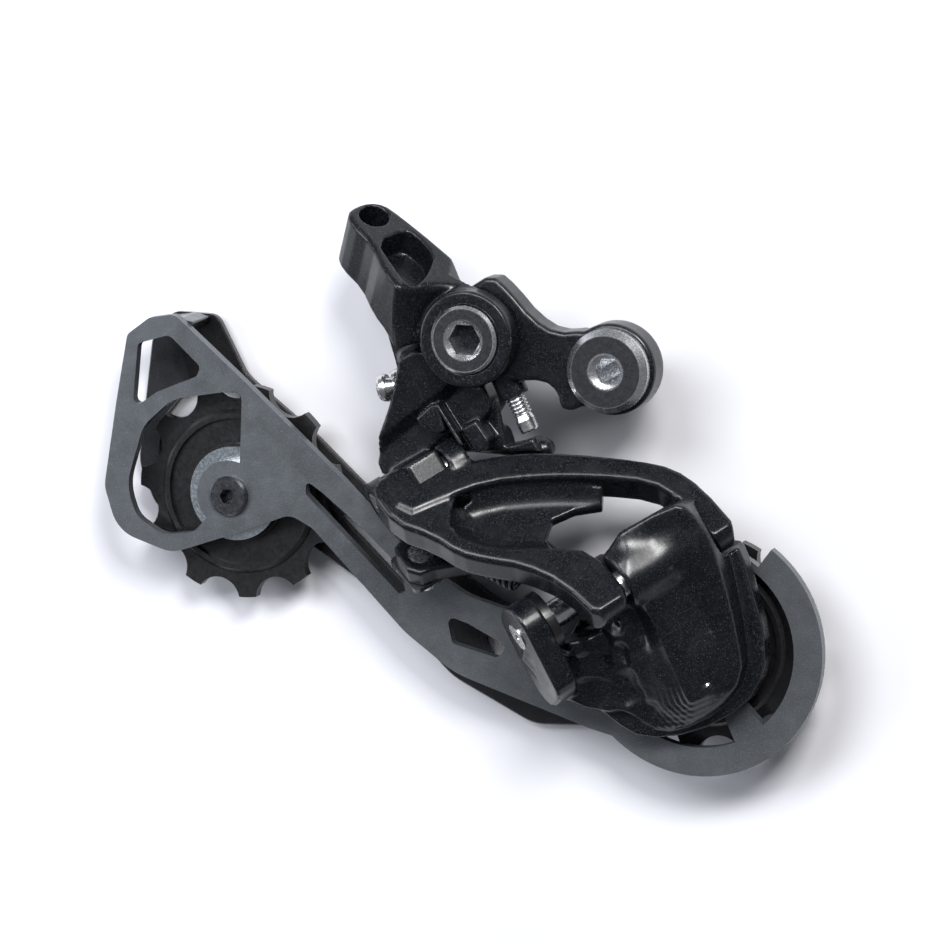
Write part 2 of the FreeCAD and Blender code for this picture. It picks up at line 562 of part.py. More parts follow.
def make_pulley(axis, phase_deg):
    """Toothed jockey wheel with a dished web and a thick hub."""
    half = math.pi / TEETH
    edges = []
    for i in range(TEETH):
        mid = 2 * half * i + math.radians(phase_deg)

        def on(r, off):
            return V(axis.x + r * math.cos(mid + off), axis.y + r * math.sin(mid + off), 0)
        tip = 0.30 * half
        edges.append(Part.Arc(on(TIP_R, -tip), on(TIP_R + 0.02, 0), on(TIP_R, tip)).toShape())
        edges.append(Part.Arc(on(TIP_R, tip), on(ROOT_R, half),
                              on(TIP_R, 2 * half - tip)).toShape())
    toothed = Part.Face(Part.Wire(edges)).extrude(V(0, 0, TOOTH_T))
    toothed.translate(V(0, 0, PULLEY_MID - TOOTH_T / 2))
    for side in (1, -1):
        z = PULLEY_MID + side * TOOTH_T / 2
        cone = Part.makeCone(30, 18.6, 2.28, V(axis.x, axis.y, z - side * 0.8), V(0, 0, side))
        keep = rod((axis.x, axis.y, z - side * 0.8), (0, 0, side), 30, 2.28)
        toothed = toothed.cut(keep.cut(cone))
    rim = rod((axis.x, axis.y, PULLEY_MID - 2.3), (0, 0, 1), 17.4, 4.6)
    rim = chamfer_ends(rim, 0.8, (PULLEY_MID - 2.3, PULLEY_MID + 2.3))
    hub = rod((axis.x, axis.y, PULLEY_MID - 3.6), (0, 0, 1), 9.2, 7.2)
    hub = chamfer_ends(hub, 0.5, (PULLEY_MID - 3.6, PULLEY_MID + 3.6))
    body = toothed.fuse([rim, hub])
    for side in (1, -1):
        z = PULLEY_MID + side * 1.5
        body = body.cut(tube((axis.x, axis.y, z), (0, 0, side), 15.6, 10.6, 4))
    body = body.cut(rod((axis.x, axis.y, -30), (0, 0, 1), BUSH_R + 0.05, 60))
    return body


def make_bush(axis):
    z = PLATE_IN[1]
    return tube((axis.x, axis.y, z), (0, 0, 1), BUSH_R, BOLT_R + 0.05, PLATE_OUT[0] - z)


def make_dust_caps(axis):
    top = tube((axis.x, axis.y, PLATE_OUT[0]), (0, 0, -1), 9.5, BUSH_R, 0.6)
    low = tube((axis.x, axis.y, PLATE_IN[1]), (0, 0, 1), 9.5, BUSH_R, 0.6)
    lips = [tube((axis.x, axis.y, PLATE_OUT[0]), (0, 0, -1), 9.9, 9.5, 1.4),
            tube((axis.x, axis.y, PLATE_IN[1]), (0, 0, 1), 9.9, 9.5, 1.4)]
    return Part.makeCompound([top.fuse(lips[0]).Solids[0], low.fuse(lips[1]).Solids[0]])


def make_tension_bolt():
    x, y = TENSION_AXIS.x, TENSION_AXIS.y
    bolt = rod((x, y, PLATE_IN[0] - 0.6), (0, 0, 1), BOLT_R, PLATE_OUT[1] - PLATE_IN[0] + 0.8)
    head = rod((x, y, PLATE_OUT[1]), (0, 0, 1), 4.2, 1.3)
    head = chamfer_ends(head, 0.4, (PLATE_OUT[1] + 1.3,))
    return bolt.fuse(head).cut(hexagon((x, y, -6.2), (0, 0, 1), 3.0, 10))


def make_guide_bolt():
    x, y = CAGE_AXIS.x, CAGE_AXIS.y
    bolt = rod((x, y, PLATE_IN[0] - 0.2), (0, 0, 1), BOLT_R, 17.0)
    head = rod((x, y, PLATE_IN[0]), (0, 0, -1), 4.2, 1.3)
    head = chamfer_ends(head, 0.4, (PLATE_IN[0] - 1.3,))
    return bolt.fuse(head).cut(hexagon((x, y, -25), (0, 0, 1), 3.0, 9.2))


# ---- write every piece ------------------------------------------------------------------
save("bracket", make_bracket())
save("mounting_bolt", make_mounting_bolt())
save("b_axle_bolt", make_b_bolt())
save("b_washer", make_b_washer())
save("b_knuckle", make_b_knuckle())
save("limit_screw_high", make_limit_screw(LIMIT_HEADS[0]))
save("limit_screw_low", make_limit_screw(LIMIT_HEADS[1]))
save("b_tension_screw", make_b_screw())
save("outer_link", make_outer_link())
save("inner_link", make_inner_link())
save("cable_clamp_bolt", make_clamp_bolt())
save("cable_clamp_washer", make_clamp_washer())
save("pin_body_outer", make_pin(PIN_B_OUT, 0.4, 17.6))
save("pin_body_inner", make_pin(PIN_B_IN, 0.9, 17.3))
save("pin_cage_outer", make_pin(PIN_P_OUT, 21.0, 50.8))
save("pin_cage_inner", make_pin(PIN_P_IN, 6.7, 28.8))
save("return_spring", make_return_spring())
save("spring_collar", make_spring_collar())
save("p_knuckle", make_p_knuckle())
save("p_axle_grub", make_grub())
save("cage_spring", make_cage_spring())
save("p_axle", make_p_axle())
save("cage_plate_outer", make_outer_plate())
save("cage_plate_inner", make_inner_plate())
save("cage_stop_pin", make_stop_pin())
save("guide_pulley", make_pulley(CAGE_AXIS, 0.0))
save("tension_pulley", make_pulley(TENSION_AXIS, 12.0))
save("guide_bush", make_bush(CAGE_AXIS))
save("tension_bush", make_bush(TENSION_AXIS))
save("guide_dust_caps", make_dust_caps(CAGE_AXIS))
save("tension_dust_caps", make_dust_caps(TENSION_AXIS))
save("guide_bolt", make_guide_bolt())
save("tension_bolt", make_tension_bolt())
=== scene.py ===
import bpy
import bmesh
import json
import math
import numpy as np
import openvdb as vdb
from mathutils import Matrix, Vector


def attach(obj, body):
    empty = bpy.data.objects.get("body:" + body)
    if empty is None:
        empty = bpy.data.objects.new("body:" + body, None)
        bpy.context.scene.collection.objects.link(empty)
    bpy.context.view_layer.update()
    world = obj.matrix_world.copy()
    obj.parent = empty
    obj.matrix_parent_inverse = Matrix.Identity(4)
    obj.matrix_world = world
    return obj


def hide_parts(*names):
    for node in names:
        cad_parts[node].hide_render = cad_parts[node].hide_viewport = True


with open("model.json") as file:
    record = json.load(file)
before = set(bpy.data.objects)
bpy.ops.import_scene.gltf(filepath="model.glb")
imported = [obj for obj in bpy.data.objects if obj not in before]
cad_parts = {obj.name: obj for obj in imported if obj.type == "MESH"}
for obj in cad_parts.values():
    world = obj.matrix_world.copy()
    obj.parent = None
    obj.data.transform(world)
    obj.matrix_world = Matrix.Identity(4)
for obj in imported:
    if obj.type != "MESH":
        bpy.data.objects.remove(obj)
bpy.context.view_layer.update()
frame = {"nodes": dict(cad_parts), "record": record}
nodes = frame["nodes"]
MM = 0.001

# ---- frames of the part, in millimetres -------------------------------------------------
HEADING = math.radians(34.5)
DIP = math.radians(36.0)
ALONG = np.array([math.cos(DIP) * math.cos(HEADING), math.cos(DIP) * math.sin(HEADING),
                  -math.sin(DIP)])
ACROSS = np.array([math.sin(HEADING), -math.cos(HEADING), 0.0])
OUTWARD = np.cross(ACROSS, ALONG)
LINK_ORIGIN = np.array([-43.9, -28.6, 14.0])
SWING = math.atan2(20.0, 38.5)
LINK_LEN = math.hypot(38.5, 20.0)
LINK_X = math.cos(SWING) * ACROSS + math.sin(SWING) * OUTWARD
LINK_Z = -math.sin(SWING) * ACROSS + math.cos(SWING) * OUTWARD
CAGE = np.array([15.0, -58.0, 0.0])
B_AXIS = np.array([-29.0, 5.3, 0.0])
SOCKET = np.array([0.363, 0.818, 0.441])
SOCKET /= np.linalg.norm(SOCKET)
MOUTH = np.array([-51.9, 28.2, 3.0])
ARM_U = np.array([0.816, -0.509, 0.272])
ARM_V = np.cross(SOCKET, ARM_U)
B_WAY = np.array([0.42, -0.905, -0.06])  # B-tension screw
B_WAY /= np.linalg.norm(B_WAY)
B_TOP = np.array([-24.3, -1.2, 3.3])


def at(b, a, c):
    """Point given across, along and outward from the first link pin."""
    return LINK_ORIGIN + ACROSS * b + ALONG * a + OUTWARD * c


# ---- distance fields ---------------------------------------------------------------------
def dot(p, v):
    """Component of a grid of points along a direction."""
    return p[0] * v[0] + p[1] * v[1] + p[2] * v[2]


def local(p, origin, ux, uy, uz):
    """Grid coordinates in a frame with its own origin and axes."""
    q = (p[0] - origin[0], p[1] - origin[1], p[2] - origin[2])
    return dot(q, ux), dot(q, uy), dot(q, uz)


def join(a, b, k):
    """Union with a blend of size k."""
    h = np.clip(0.5 + 0.5 * (b - a) / k, 0, 1)
    return b + (a - b) * h - k * h * (1 - h)


def meet(a, b, k):
    """Intersection of two fields with a rounding of size k."""
    return -join(-a, -b, k)


def cut(a, b, k):
    """Field a with b taken away, rounded by k."""
    return meet(a, -b, k)


def capsule(p, a, b, ra, rb):
    """Rod between two points with a radius at each end."""
    a, b = np.asarray(a, float), np.asarray(b, float)
    ab = b - a
    q = (p[0] - a[0], p[1] - a[1], p[2] - a[2])
    t = np.clip(dot(q, ab) / ab.dot(ab), 0, 1)
    r = (q[0] - t * ab[0], q[1] - t * ab[1], q[2] - t * ab[2])
    return np.sqrt(dot(r, r)) - (ra + (rb - ra) * t)


def rim(d, w, edge):
    """Round the corner where two distances meet."""
    d, w = d + edge, w + edge
    return np.sqrt(np.maximum(d, 0) ** 2 + np.maximum(w, 0) ** 2) + np.minimum(np.maximum(d, w),
        0) - edge


def drum(p, a, b, r, edge=0.5):
    """Cylinder from a to b with rounded rims."""
    a, b = np.asarray(a, float), np.asarray(b, float)
    axis = b - a
    half = np.linalg.norm(axis) / 2
    axis = axis / (2 * half)
    mid = (a + b) / 2
    q = (p[0] - mid[0], p[1] - mid[1], p[2] - mid[2])
    t = dot(q, axis)
    radial = np.sqrt(np.maximum(dot(q, q) - t * t, 0))
    return rim(radial - r, np.abs(t) - half, edge)


def outline(x, y, pts):
    """Signed distance to a closed outline."""
    d = np.full(np.broadcast(x, y).shape, 1e9, np.float32)
    inside = np.zeros(d.shape, bool)
    n = len(pts)
    for i in range(n):
        ax, ay = pts[i - 1]
        bx, by = pts[i]
        ex, ey = bx - ax, by - ay
        wx, wy = x - ax, y - ay
        t = np.clip((wx * ex + wy * ey) / (ex * ex + ey * ey), 0, 1)
        d = np.minimum(d, (wx - ex * t) ** 2 + (wy - ey * t) ** 2)
        above = (ay > y) != (by > y)
        with np.errstate(divide="ignore", invalid="ignore"):
            cross = x < (bx - ax) * (y - ay) / (by - ay if by != ay else 1e-9) + ax
        inside ^= above & cross
    return np.where(inside, -np.sqrt(d), np.sqrt(d))


def prism(x, y, z, pts, z0, z1, edge=0.5):
    """Outline between two heights, with rounded rims."""
    flat = np.maximum(outline(x, y, pts), -2.0)
    return rim(flat, np.abs(z - (z0 + z1) / 2) - (z1 - z0) / 2, edge)


def smooth_path(pts, rounds=2):
    """Corner-cut a closed outline so that it runs in curves."""
    for _ in range(rounds):
        out = []
        for i in range(len(pts)):
            a, b = np.array(pts[i - 1], float), np.array(pts[i], float)
            out.append(tuple(a * 0.75 + b * 0.25))
            out.append(tuple(a * 0.25 + b * 0.75))
        pts = out
    return pts


def carve(name, lo, hi, step, field, origin=(0, 0, 0), axes=None):
    """Mesh of a distance field evaluated on a grid in a local frame."""
    xs = [np.arange(lo[i], hi[i] + step, step, dtype=np.float32) for i in range(3)]
    p = np.meshgrid(*xs, indexing="ij")
    values = field(p).astype(np.float32)
    values = np.clip(values, -3 * step, 3 * step)
    grid = vdb.FloatGrid(3 * step)
    grid.copyFromArray(values)
    grid.transform = vdb.createLinearTransform(voxelSize=step)
    points, tris, quads = grid.convertToPolygons(0.0, 0.0)
    points = np.asarray(points, float) + np.array(lo)
    if axes is not None:
        points = np.asarray(origin) + points @ np.array(axes)
    mesh = bpy.data.meshes.new(name)
    faces = [tuple(int(v) for v in f) for f in quads] + [tuple(int(v) for v in f) for f in tris]
    mesh.from_pydata((points * MM).tolist(), [], faces)
    bm = bmesh.new()
    bm.from_mesh(mesh)
    drop_specks(bm)
    bmesh.ops.recalc_face_normals(bm, faces=bm.faces)
    bm.to_mesh(mesh)
    bm.free()
    mesh.polygons.foreach_set("use_smooth", [True] * len(mesh.polygons))
    obj = bpy.data.objects.new(name, mesh)
    bpy.context.scene.collection.objects.link(obj)
    return obj


def drop_specks(bm):
    """Keep only the largest connected piece."""
    seen, best = set(), []
    for start in bm.verts:
        if start.index in seen:
            continue
        stack, island = [start], []
        seen.add(start.index)
        while stack:
            v = stack.pop()
            island.append(v)
            for e in v.link_edges:
                w = e.other_vert(v)
                if w.index not in seen:
                    seen.add(w.index)
                    stack.append(w)
        if len(island) > len(best):
            best = island
    keep = set(v.index for v in best)
    bmesh.ops.delete(bm, geom=[v for v in bm.verts if v.index not in keep], context="VERTS")


# ---- materials -----------------------------------------------------------------------------
def node_material(name):
    """New node material, with its tree and shader."""
    mat = bpy.data.materials.new(name)
    mat.use_nodes = True
    tree = mat.node_tree
    return mat, tree, tree.nodes["Principled BSDF"]


def add(tree, kind, **values):
    """Add a node and set its properties."""
    n = tree.nodes.new(kind)
    for key, value in values.items():
        setattr(n, key, value)
    return n


def noise(tree, scale, detail=3.0, roughness=0.5):
    """Noise in object space."""
    tc = add(tree, "ShaderNodeTexCoord")
    n = add(tree, "ShaderNodeTexNoise")
    n.inputs["Scale"].default_value = scale
    n.inputs["Detail"].default_value = detail
    n.inputs["Roughness"].default_value = roughness
    tree.links.new(tc.outputs["Object"], n.inputs["Vector"])
    return n.outputs["Fac"]


def ramp(tree, source, stops):
    """Map a value to grey levels; stops is a list of (position, level)."""
    node = add(tree, "ShaderNodeValToRGB")
    elements = node.color_ramp.elements
    elements[0].position = stops[0][0]
    elements[0].color = (*[stops[0][1]] * 3, 1)
    for position, level in stops[1:-1]:
        elements.new(position).color = (*[level] * 3, 1)
    elements[-1].position = stops[-1][0]
    elements[-1].color = (*[stops[-1][1]] * 3, 1)
    tree.links.new(source, node.inputs["Fac"])
    return node.outputs["Color"]


def mix(tree, fac, a, b):
    """Blend two colours, each a socket or a constant."""
    m = add(tree, "ShaderNodeMix", data_type="RGBA", blend_type="MIX")
    for value, key in ((fac, "Factor"), (a, "A"), (b, "B")):
        if key == "Factor":
            sock = [s for s in m.inputs if s.name == key and s.enabled][0]
        else:
            sock = [s for s in m.inputs if s.name == key and s.type == "RGBA"][0]
        if isinstance(value, bpy.types.NodeSocket):
            tree.links.new(value, sock)
        elif key == "Factor":
            sock.default_value = value
        else:
            sock.default_value = (*value, 1)
    return [s for s in m.outputs if s.type == "RGBA"][0]


def lighter_convex_edges(tree):
    """Mask of convex edges, which the materials make lighter."""
    geo = add(tree, "ShaderNodeNewGeometry")
    return ramp(tree, geo.outputs["Pointiness"], [(0.52, 0.0), (0.62, 1.0)])


def bump(tree, height, strength, distance):
    """Surface normal with fine relief."""
    b = add(tree, "ShaderNodeBump")
    b.inputs["Strength"].default_value = strength
    b.inputs["Distance"].default_value = distance
    tree.links.new(height, b.inputs["Height"])
    return b.outputs["Normal"]


def painted(name, base, spark, edge, metallic, rough, spark_amount, grain=0.00003, coat=0.0):
    """Dark paint with fine metal flake, slight orange peel and lighter convex edges."""
    mat, tree, bsdf = node_material(name)
    flakes = noise(tree, 5200, 1.0, 0.6)
    flake_mask = ramp(tree, flakes, [(0.60, 0.0), (0.74, spark_amount)])
    cloud = noise(tree, 90, 4.0, 0.6)
    tone = mix(tree, ramp(tree, cloud, [(0.35, 0.0), (0.68, 1.0)]), base, tuple(c * 1.35 for c in base))
    tone = mix(tree, flake_mask, tone, spark)
    # convex edges are blended toward the lighter edge colour
    tone = mix(tree, mix(tree, 0.55, (0, 0, 0), lighter_convex_edges(tree)), tone, edge)
    tree.links.new(tone, bsdf.inputs["Base Color"])
    bsdf.inputs["Metallic"].default_value = metallic
    bsdf.inputs["Specular IOR Level"].default_value = 0.34
    smudge = noise(tree, 260, 5.0, 0.65)
    rough_map = ramp(tree, smudge, [(0.3, rough - 0.05), (0.75, rough + 0.09)])
    tree.links.new(rough_map, bsdf.inputs["Roughness"])
    bsdf.inputs["Coat Weight"].default_value = coat
    bsdf.inputs["Coat Roughness"].default_value = 0.22
    peel = noise(tree, 1500, 3.0, 0.6)
    tree.links.new(bump(tree, peel, 0.35, grain), bsdf.inputs["Normal"])
    return mat


def metal(name, base, tint, rough):
    """Bare or blackened metal with cloudy tone and fine marks."""
    scale, scratch = 500, 0.00002
    mat, tree, bsdf = node_material(name)
    cloud = noise(tree, scale, 6.0, 0.7)
    tone = mix(tree, ramp(tree, cloud, [(0.3, 0.0), (0.75, 1.0)]), base, tint)
    # convex edges are blended toward a lighter copy of the tint
    tone = mix(tree, mix(tree, 0.5, (0, 0, 0), lighter_convex_edges(tree)), tone,
               tuple(min(1.0, c * 1.5) for c in tint))
    tree.links.new(tone, bsdf.inputs["Base Color"])
    bsdf.inputs["Metallic"].default_value = 1.0
    marks = noise(tree, scale * 3, 6.0, 0.75)
    tree.links.new(ramp(tree, marks, [(0.3, rough - 0.06), (0.75, rough + 0.12)]),
                   bsdf.inputs["Roughness"])
    tree.links.new(bump(tree, marks, 0.25, scratch), bsdf.inputs["Normal"])
    return mat


def plastic(name, base, rough):
    """Matte moulded plastic with slight mottling."""
    mat, tree, bsdf = node_material(name)
    cloud = noise(tree, 300, 4.0, 0.6)
    tone = mix(tree, ramp(tree, cloud, [(0.3, 0.0), (0.7, 1.0)]), base, tuple(c * 1.7 for c in base))
    # convex edges are blended toward a lighter copy of the base colour
    tone = mix(tree, mix(tree, 0.4, (0, 0, 0), lighter_convex_edges(tree)), tone, tuple(c * 4 for c in base))
    tree.links.new(tone, bsdf.inputs["Base Color"])
    marks = noise(tree, 900, 4.0, 0.7)
    tree.links.new(ramp(tree, marks, [(0.3, rough - 0.06), (0.7, rough + 0.1)]),
                   bsdf.inputs["Roughness"])
    tree.links.new(bump(tree, marks, 0.3, 0.00003), bsdf.inputs["Normal"])
    return mat


CAST = painted("cast_black", (0.0024, 0.0027, 0.0038), (0.12, 0.15, 0.18), (0.035, 0.038, 0.045), 0.10,
               0.27, 0.45, coat=0.0)
GREY = painted("cage_grey", (0.030, 0.033, 0.038), (0.34, 0.38, 0.42), (0.20, 0.215, 0.23), 0.70, 0.33,
               0.9, grain=0.00008)
PRESSED = painted("plate_black", (0.0035, 0.0035, 0.0042), (0.05, 0.05, 0.055), (0.04, 0.04, 0.045),
                  0.1, 0.26, 0.3, coat=0.3)
DARK_BOLT = metal("bolt_dark", (0.075, 0.077, 0.085), (0.15, 0.155, 0.17), 0.26)
STEEL = metal("steel", (0.50, 0.50, 0.51), (0.68, 0.68, 0.69), 0.24)
ZINC = metal("zinc", (0.46, 0.53, 0.60), (0.66, 0.72, 0.78), 0.22)
WIRE = metal("spring_steel", (0.05, 0.05, 0.055), (0.11, 0.11, 0.12), 0.35)
NYLON = plastic("pulley_plastic", (0.0030, 0.0030, 0.0034), 0.30)


def turned_head(name, axis, bright_in, bright_out, radius):
    """Dark burnished bolt head with bright bevels at its rim and round its socket."""
    mat, tree, bsdf = node_material(name)
    tc = add(tree, "ShaderNodeTexCoord")
    shift = add(tree, "ShaderNodeVectorMath", operation="SUBTRACT")
    shift.inputs[1].default_value = (axis[0] * MM, axis[1] * MM, 0)
    flatten = add(tree, "ShaderNodeVectorMath", operation="MULTIPLY")
    flatten.inputs[1].default_value = (1, 1, 0)
    length = add(tree, "ShaderNodeVectorMath", operation="LENGTH")
    tree.links.new(tc.outputs["Object"], shift.inputs[0])
    tree.links.new(shift.outputs[0], flatten.inputs[0])
    tree.links.new(flatten.outputs[0], length.inputs[0])
    scale = add(tree, "ShaderNodeMath", operation="MULTIPLY")
    scale.inputs[1].default_value = 1.0 / (radius * MM)
    tree.links.new(length.outputs["Value"], scale.inputs[0])
    lo, hi = bright_in / radius, bright_out / radius
    mask = ramp(tree, scale.outputs[0], [(0.0, 1.0), (lo - 0.03, 1.0), (lo, 0.0), (hi - 0.02, 0.0),
                                         (hi, 1.0), (1.0, 1.0)])
    cloud = noise(tree, 900, 6.0, 0.7)
    dark = mix(tree, ramp(tree, cloud, [(0.3, 0.0), (0.75, 1.0)]), (0.11, 0.113, 0.125),
               (0.20, 0.205, 0.22))
    bright = mix(tree, ramp(tree, cloud, [(0.3, 0.0), (0.75, 1.0)]), (0.62, 0.63, 0.65),
                 (0.82, 0.83, 0.85))
    tree.links.new(mix(tree, mask, dark, bright), bsdf.inputs["Base Color"])
    bsdf.inputs["Metallic"].default_value = 1.0
    marks = noise(tree, 2400, 5.0, 0.7)
    tree.links.new(ramp(tree, marks, [(0.3, 0.20), (0.75, 0.34)]), bsdf.inputs["Roughness"])
    tree.links.new(bump(tree, marks, 0.2, 0.00002), bsdf.inputs["Normal"])
    return mat


SLOTS = {"cast_black": CAST, "cage_grey": GREY, "plate_black": PRESSED, "bolt_dark": DARK_BOLT,
         "steel": STEEL, "zinc": ZINC, "spring_steel": WIRE, "pulley_plastic": NYLON}

for part in frame["record"]["subparts"]:
    obj = nodes[part["node"]]
    obj.data.materials.clear()
    obj.data.materials.append(SLOTS[part["material_slot"]])


nodes["mounting_bolt"].data.materials[0] = turned_head("mounting_head", (0, 0), 3.9, 7.3, 9.0)
nodes["b_axle_bolt"].data.materials[0] = turned_head("axle_head", (-29.0, 5.3), 4.3, 6.4, 7.5)


def soften(name, width):
    """Small bevel on the sharp edges of a machined or pressed piece."""
    mod = nodes[name].modifiers.new("edge", "BEVEL")
    mod.width = width * MM
    mod.segments = 3
    mod.limit_method = "ANGLE"
    mod.angle_limit = math.radians(40)
    mod.use_clamp_overlap = True


for name, width in (("cage_plate_outer", 0.9), ("cage_plate_inner", 0.3), ("mounting_bolt", 0.15),
                    ("b_axle_bolt", 0.15)):
    soften(name, width)


def dress(obj, slot, body, *cad):
    """Give a piece its material and body; cad names the nodes it replaces."""
    obj.data.materials.append(SLOTS[slot])
    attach(obj, body)
    if cad:
        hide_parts(*cad)
    return obj


STEP = 0.36


# ---- outer link -------------------------------------------------------------------------------
def outer_link(p):
    """Two arms with a bowl between them, an open window and pin bosses."""
    x, y, z = p
    right = smooth_path([(-5.4, 1.5), (-4.8, 4.8), (-0.4, 7.4), (2.4, 15.4), (7.0, 25.5), (13.7, 34.4),
                         (23.5, 44.6), (29.2, 49.3), (36.4, 51.3), (49.6, 51.6), (49.6, 45.8),
                         (36.1, 45.8), (29.5, 43.6), (21.9, 35.5), (15.2, 26.6), (9.7, 17.1),
                         (7.4, 7.3), (6.0, -1.0)], 1)
    left = smooth_path([(-5.4, 1.5), (-3.0, -3.0), (6.2, -3.2), (13.4, 1.2), (20.1, 3.3), (24.6, 6.8),
                        (30.1, 12.0), (38.1, 16.0), (49.8, 17.6), (49.8, 25.8), (35.5, 25.8),
                        (29.0, 18.7), (22.5, 9.3), (14.3, 5.2), (9.0, 9.0), (4.0, 17.0)], 1)
    floor = [(6, 2), (8, 17), (15, 27), (23, 36), (25.5, 34), (23.0, 29), (22.2, 24), (25, 20.5),
             (30, 20), (22, 9), (14, 3)]
    body = prism(x, y, z, right, -4.0, 4.0, 0.9)
    body = join(body, prism(x, y, z, left, -4.2, 3.4, 1.2), 1.0)
    near = np.minimum(outline(x, y, right), outline(x, y, left))
    bowl = -1.2 + 0.16 * np.maximum(4.5 - near, 0) ** 2
    body = join(body, rim(outline(x, y, floor), np.maximum(z - np.minimum(bowl, 2.4), -3.9 - z) * 0.8,
                          0.5), 0.6)
    body = join(body, drum((x, y, z), (0, 13.3, 0), (0, 17.6, 0), 5.2, 0.6), 0.8)
    end = meet(body, np.sqrt((x - LINK_LEN) ** 2 + z ** 2) - 5.5, 0.3)
    body = np.where(x > LINK_LEN, end, body)
    tail = meet(body, np.sqrt(x ** 2 + z ** 2) - 5.6, 0.3)
    body = np.where(x < 0, tail, body)
    slot = np.maximum(np.abs(x) - 9.5, np.maximum(4.8 - y, y - 13.2))
    slot = np.maximum(slot, z - 2.2)
    body = cut(body, slot, 0.6)
    gap = np.maximum(36.0 - x, np.maximum(25.9 - y, y - 46.0))
    body = cut(body, gap, 0.6)
    window = outline(x, y, smooth_path([(23.4, 25.2), (24.8, 31.4), (31.4, 43.0), (40, 46), (40, 26),
                                        (35.0, 26.8),
                                        (30.0, 23.0), (27.0, 20.8), (24.4, 21.6)], 2))
    body = cut(body, window, 0.6)
    return body


link = carve("outer_link_shell", (-7, -5, -7), (51, 54, 7), STEP, outer_link,
             LINK_ORIGIN, (LINK_X, ALONG, LINK_Z))
dress(link, "cast_black", "outer_link", "outer_link")


# ---- inner link --------------------------------------------------------------------------------
def inner_link(p):
    """Flat link with three pin bosses and the cable clamp hole."""
    x, y, z = p
    plan = smooth_path([(-1, 0.8), (10, 0.8), (11.5, -3.0), (19.5, -3.0), (21, 3.5), (28, 15.0),
                        (36, 20.5), (44, 20.5), (44, 26.0), (33, 26.0), (10, 17.5), (-1, 17.5)], 1)
    body = prism(x, y, z, plan, -3.5, 1.5, 0.7)
    for x0, a0, a1 in ((0, 0.8, 4.8), (0, 13.2, 17.5), (LINK_LEN, 20.5, 26.0)):
        body = join(body, drum((x, y, z), (x0, a0, 0), (x0, a1, 0), 5.0, 0.6), 1.0)
    slot = np.maximum(np.abs(x) - 9.5, np.maximum(4.9 - y, y - 13.1))
    body = cut(body, slot, 0.6)
    body = cut(body, np.sqrt((x - 15.5) ** 2 + (y - 1.5) ** 2) - 2.6, 0.2)
    for x0 in (0, LINK_LEN):
        body = cut(body, np.sqrt((x - x0) ** 2 + z ** 2) - 2.96, 0.2)
    return body


inner_origin = LINK_ORIGIN - 2.0 * ACROSS - 18.0 * OUTWARD
link = carve("inner_link_casting", (-7, -5, -7), (50, 28, 7), STEP, inner_link,
             inner_origin, (LINK_X, ALONG, LINK_Z))
dress(link, "cast_black", "inner_link", "inner_link")


# ---- cage knuckle ------------------------------------------------------------------------------
CROWN_ROWS = [  # from the nose to the lower rim: arm edge, ridge, trough and outer band, as x, y, height
    [(2.0, -33.7, 15), (3.6, -32.7, 15.5), (5.7, -31.5, 15.5), (10.9, -28.5, 13.5), (15.3, -26.0, 12),
     (18.8, -27.3, 10.5)],
    [(2.8, -35.8, 15.5), (5.4, -36.7, 17.2), (7.4, -36.3, 17.0), (11.8, -33.6, 12.6),
     (18.0, -30.8, 11.0), (22.1, -32.8, 9.5)],
    [(5.1, -43.5, 10.5), (8.2, -42.6, 15), (9.7, -41.6, 14.8), (14.4, -39.0, 9.8), (22.0, -36.1, 9.6),
     (27.2, -33.6, 8.6)],
    [(8.0, -51.7, 7.8), (11.6, -49.6, 12.6), (13.6, -48.4, 12.4), (19.7, -47.2, 7.4),
     (26.0, -45.1, 8.0), (30.8, -42.8, 7.2)],
    [(9.4, -60.6, 6.6), (15.2, -58.4, 11.0), (17.7, -56.7, 10.9), (23.7, -55.3, 6.0),
     (28.9, -54.3, 6.6), (32.6, -53.1, 6.0)],
    [(9.2, -68.3, 3.4), (18.4, -65.8, 9.9), (20.6, -64.6, 9.9), (24.5, -64.0, 4.4), (27.8, -62.5, 4.8),
     (31.2, -61.7, 4.0)],
    [(4.9, -75.6, 1), (15.6, -74.7, 1), (20.2, -72.3, 1), (25.0, -68.8, 1), (28.6, -66.4, 1),
     (31.3, -64.1, 1)]]
PANEL = [(-3.0, -66.5, 1.6), (1.4, -68.1, 2.0), (-8.6, -65.4, 1.4), (5.5, -66.6, 2.6),
         (-2.4, -59.8, 2.2), (3.5, -58.0, 5.6),
         (6.6, -57.6, 6.6), (2.0, -51.5, 7.5), (-2.4, -55.6, 3.0), (-6.1, -59.3, 2.0),
         (3.6, -63.2, 3.6), (0.5, -46.0, 9.5)]


ARM_SAMPLES = [(-13, -57.5, 11.5), (-10, -57, 10.5), (-7, -56.5, 8.5), (-3, -56, 6.5), (0, -53, 6.5),
               (3, -52, 8.5),
               (-12, -62, 7.5), (-8, -61, 6.2), (-3, -60, 5), (2, -58, 6), (6, -57, 8), (-11, -66, 4),
               (-4, -67, 3),
               (2, -66.5, 3), (7, -66, 3.5), (9, -62, 6)]


def crown_net(steps=6):
    """Points on the ruled patches between neighbouring rows."""
    out = list(PANEL)
    for top, low in zip(CROWN_ROWS, CROWN_ROWS[1:]):
        for k in range(len(top) - 1):
            a, b, c, d = (np.array(q, float) for q in (top[k], top[k + 1], low[k], low[k + 1]))
            for i in range(steps):
                for j in range(steps):
                    s, t = i / steps, j / steps
                    out.append(tuple((a * (1 - s) + b * s) * (1 - t) + (c * (1 - s) + d * s) * t))
    return out


def height(x, y, points, soft=0.25):
    """Smooth surface through sample points; soft evens it out between them."""
    total = np.zeros(x.shape, np.float32)
    weight = np.zeros(x.shape, np.float32)
    for px, py, pz in points:
        w = 1.0 / (((x - px) ** 2 + (y - py) ** 2) ** 2 + soft)
        total += w * pz
        weight += w
    return total / weight


